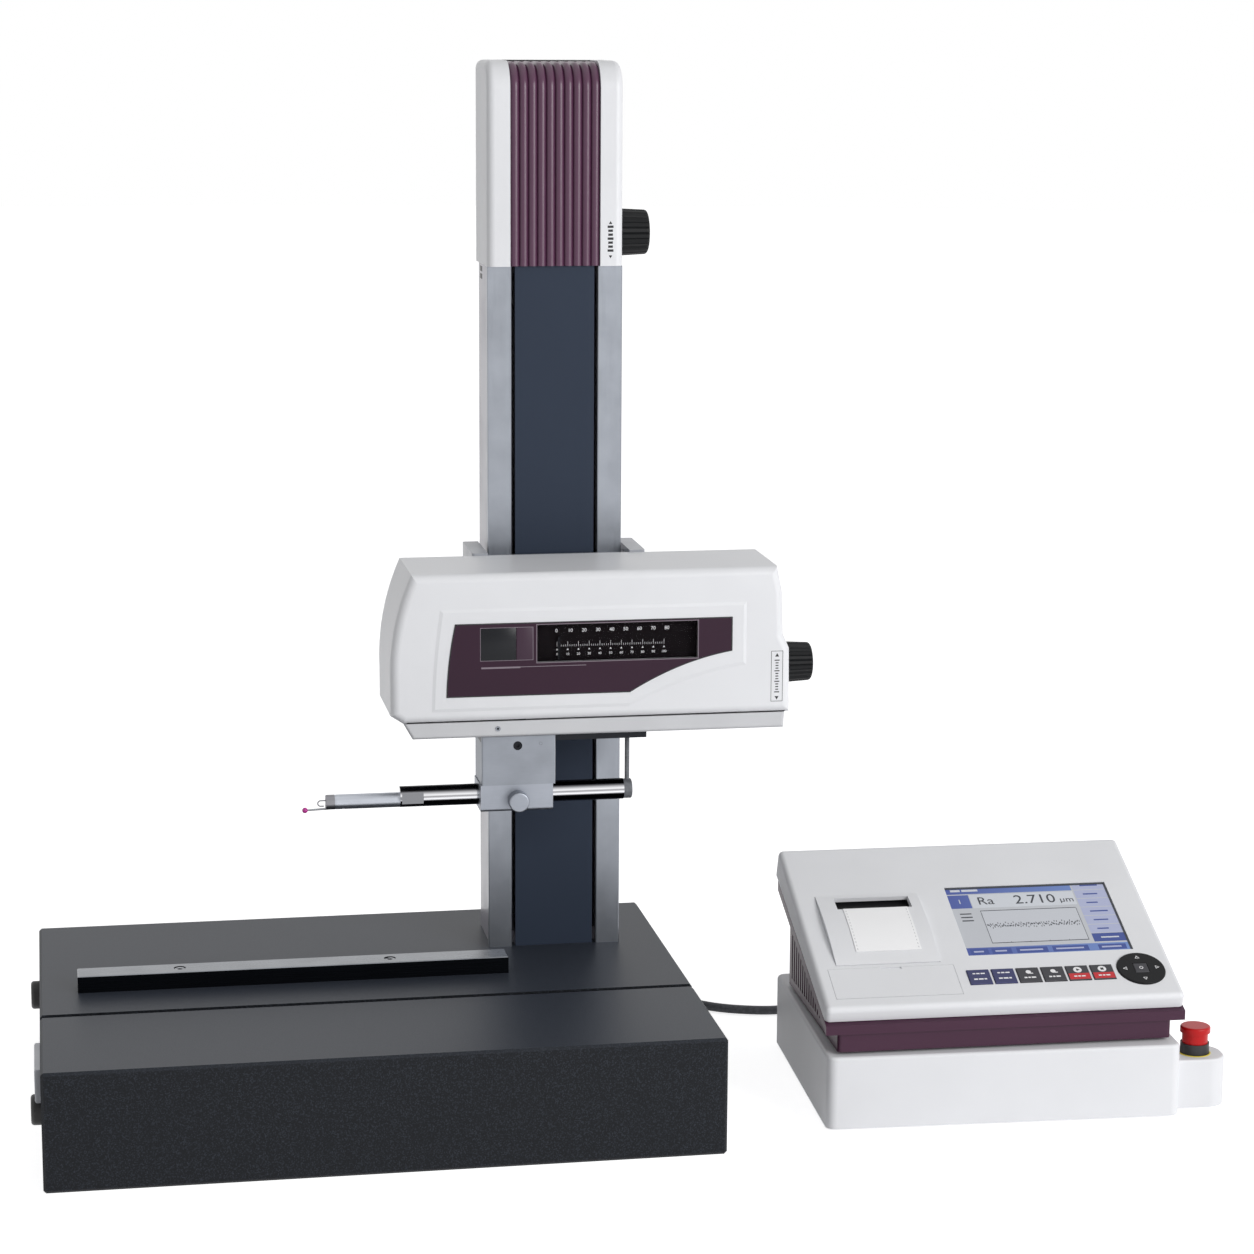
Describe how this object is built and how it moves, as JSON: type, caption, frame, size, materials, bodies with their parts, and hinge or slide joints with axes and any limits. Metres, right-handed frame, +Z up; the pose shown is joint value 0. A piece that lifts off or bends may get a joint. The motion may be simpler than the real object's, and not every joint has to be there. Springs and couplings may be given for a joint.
{
  "type": "surface roughness tester",
  "caption": "Bench surface roughness tester: granite plate and screw-driven column carry a drive unit that draws a stylus over a workpiece, with a desk controller joined by cable.",
  "frame": {"origin": "centre of the granite plate's underside, which rests on the bench", "axes": "+X to the operator's right along the plate's length, the way the stylus is drawn; +Y away from the operator; +Z up"},
  "size_m": [1.0902, 0.5202, 0.955],
  "materials": {
    "granite": "lapped black granite, smooth top and speckled sides",
    "plug_black": "moulded black cap",
    "anchor_plate": "grey painted steel",
    "ground_steel": "ground and lightly oiled",
    "column_grey": "lilac-grey paint, semi-gloss",
    "bright_rail": "ground guide faces",
    "slate_strip": "slate-blue cover strip",
    "screw_steel": "turned screw steel",
    "gear_brass": "cut gear brass",
    "bracket_iron": "machined casting",
    "shell_white": "warm white moulded shell, satin",
    "maroon": "maroon moulding, satin",
    "knob_black": "ribbed black grip",
    "machine_grey": "grey paint on machined metal",
    "panel_maroon": "dark maroon fascia",
    "window_clear": "clear window",
    "scale_black": "black scale carrier",
    "motor_metal": "motor can",
    "black_metal": "black anodised",
    "bright_chrome": "chromed tube",
    "detector_silver": "satin silver",
    "stylus_steel": "polished arm with a ruby ball",
    "rubber_black": "black rubber",
    "cable_grey": "grey cable sheath",
    "estop_red": "red mushroom head",
    "control_white": "white moulded case, satin",
    "lcd_glass": "lit display behind a clear cover",
    "board_green": "circuit board",
    "supply_case": "supply block",
    "key_navy": "navy key",
    "key_dark": "dark grey key",
    "key_red": "black and red key",
    "pad_black": "black pad",
    "paper_white": "thermal paper"
  },
  "bodies": {
    "root": {"granite_base": "granite", "side_plate": "anchor_plate", "side_plugs": "plug_black", "fence_bar": "ground_steel", "column_frame": "column_grey", "column_rails": "bright_rail", "column_strip": "slate_strip", "gear_bracket": "bracket_iron", "head_shell": "shell_white", "head_flutes": "maroon", "control_box": "control_white", "rubber_feet": "rubber_black", "estop_box": "control_white", "estop_collar": "plug_black", "power_supply": "supply_case", "rear_sockets": "plug_black", "unit_tray": "maroon", "unit_cover": "control_white", "lcd_module": "lcd_glass", "main_board": "board_green", "printer_frame": "scale_black", "link_cable": "cable_grey"},
    "lead_screw": {"lead_screw": "screw_steel", "screw_gear": "gear_brass"},
    "column_knob": {"pinion_shaft": "screw_steel", "column_knob": "knob_black"},
    "carriage": {"carriage_saddle": "machine_grey", "lift_nut": "gear_brass", "tilt_shaft": "screw_steel"},
    "drive_unit": {"drive_cover": "shell_white", "drive_chassis": "machine_grey", "drive_panel": "panel_maroon", "drive_windows": "window_clear", "scale_plate": "scale_black", "traverse_rail": "ground_steel", "traverse_motor": "motor_metal"},
    "traverse_screw": {"traverse_screw": "screw_steel", "drive_knob": "knob_black"},
    "traverse": {"traverse_slider": "black_metal", "holder_block": "machine_grey", "clamp_block": "machine_grey", "detector_lead": "rubber_black", "detector_tube": "bright_chrome", "detector_body": "detector_silver"},
    "clamp_knob": {"clamp_knob": "detector_silver"},
    "stylus": {"stylus_arm": "stylus_steel"},
    "nav_pad": {"nav_pad": "pad_black"},
    "nav_button": {"nav_button": "key_dark"},
    "printer_lid": {"printer_lid": "control_white", "paper_strip": "paper_white"},
    "platen": {"platen_roller": "rubber_black"},
    "paper_roll": {"paper_roll": "paper_white"},
    "access_flap": {"access_flap": "control_white"},
    "estop_cap": {"estop_cap": "estop_red"},
    "key_1": {"key_1": "key_navy"},
    "key_2": {"key_2": "key_navy"},
    "key_3": {"key_3": "key_dark"},
    "key_4": {"key_4": "key_dark"},
    "key_5": {"key_5": "key_red"},
    "key_6": {"key_6": "key_red"}
  },
  "joints": [
    {"name": "carriage_lift", "type": "slide", "parent": "root", "child": "carriage", "axis": [0, 0, 1], "range_m": [-0.1, 0.2]},
    {"name": "lead_screw_spin", "type": "hinge", "parent": "root", "child": "lead_screw", "pos_m": [0.193, 0.131, 0.4], "axis": [0, 0, 1], "range_deg": [-7201, 3601]},
    {"name": "column_knob_spin", "type": "hinge", "parent": "root", "child": "column_knob", "pos_m": [0.25, 0.131, 0.7945], "axis": [1, 0, 0], "range_deg": [-7201, 3601]},
    {"name": "drive_tilt", "type": "hinge", "parent": "carriage", "child": "drive_unit", "pos_m": [0.193, 0.05, 0.43], "axis": [0, 1, 0], "range_deg": [-1.5, 1.5]},
    {"name": "traverse_slide", "type": "slide", "parent": "drive_unit", "child": "traverse", "axis": [1, 0, 0], "range_m": [0, 0.1]},
    {"name": "traverse_screw_spin", "type": "hinge", "parent": "drive_unit", "child": "traverse_screw", "pos_m": [0.3, 0.01, 0.398], "axis": [1, 0, 0], "range_deg": [-3601, 1]},
    {"name": "clamp_knob_turn", "type": "hinge", "parent": "traverse", "child": "clamp_knob", "pos_m": [0.1405, -0.028, 0.283], "axis": [0, 1, 0], "range_deg": [0, 360]},
    {"name": "stylus_pivot", "type": "hinge", "parent": "traverse", "child": "stylus", "pos_m": [-0.0195, -0.006, 0.2769], "axis": [0, 1, 0], "range_deg": [-0.6, 0.6], "stiffness_Nm_per_rad": 0.02},
    {"name": "key_1_press", "type": "slide", "parent": "root", "child": "key_1", "axis": [0.0086, 0.3777, -0.9259], "range_m": [0, 0.001], "stiffness_N_per_m": 400, "springref_m": -0.0005},
    {"name": "key_2_press", "type": "slide", "parent": "root", "child": "key_2", "axis": [0.0086, 0.3777, -0.9259], "range_m": [0, 0.001], "stiffness_N_per_m": 400, "springref_m": -0.0005},
    {"name": "key_3_press", "type": "slide", "parent": "root", "child": "key_3", "axis": [0.0086, 0.3777, -0.9259], "range_m": [0, 0.001], "stiffness_N_per_m": 400, "springref_m": -0.0005},
    {"name": "key_4_press", "type": "slide", "parent": "root", "child": "key_4", "axis": [0.0086, 0.3777, -0.9259], "range_m": [0, 0.001], "stiffness_N_per_m": 400, "springref_m": -0.0005},
    {"name": "key_5_press", "type": "slide", "parent": "root", "child": "key_5", "axis": [0.0086, 0.3777, -0.9259], "range_m": [0, 0.001], "stiffness_N_per_m": 400, "springref_m": -0.0005},
    {"name": "key_6_press", "type": "slide", "parent": "root", "child": "key_6", "axis": [0.0086, 0.3777, -0.9259], "range_m": [0, 0.001], "stiffness_N_per_m": 400, "springref_m": -0.0005},
    {"name": "nav_rock", "type": "hinge", "parent": "root", "child": "nav_pad", "pos_m": [0.70575, -0.15349, 0.12935], "axis": [0.9997, -0.0227, 0], "range_deg": [-2.5, 2.5], "stiffness_Nm_per_rad": 2},
    {"name": "nav_press", "type": "slide", "parent": "nav_pad", "child": "nav_button", "axis": [0.0086, 0.3777, -0.9259], "range_m": [0, 0.0008], "stiffness_N_per_m": 400, "springref_m": -0.0005},
    {"name": "printer_lid_hinge", "type": "hinge", "parent": "root", "child": "printer_lid", "pos_m": [0.47099, -0.12223, 0.13993], "axis": [0.9997, -0.0227, 0], "range_deg": [0, 60]},
    {"name": "platen_spin", "type": "hinge", "parent": "printer_lid", "child": "platen", "pos_m": [0.47245, -0.0583, 0.15792], "axis": [0.9997, -0.0227, 0], "continuous": true},
    {"name": "paper_roll_spin", "type": "hinge", "parent": "root", "child": "paper_roll", "pos_m": [0.47199, -0.07814, 0.12714], "axis": [0.9997, -0.0227, 0], "continuous": true},
    {"name": "access_flap_hinge", "type": "hinge", "parent": "root", "child": "access_flap", "pos_m": [0.47101, -0.16575, 0.12217], "axis": [0.9997, -0.0227, 0], "range_deg": [0, 60]},
    {"name": "estop_push", "type": "slide", "parent": "root", "child": "estop_cap", "axis": [0, 0, -1], "range_m": [0, 0.004]}
  ],
  "couplings": [
    {"joint": "lead_screw_spin", "follows": "carriage_lift", "rad_per_m": -628.32},
    {"joint": "column_knob_spin", "follows": "carriage_lift", "rad_per_m": -628.32},
    {"joint": "traverse_screw_spin", "follows": "traverse_slide", "rad_per_m": -628.32}
  ]
}
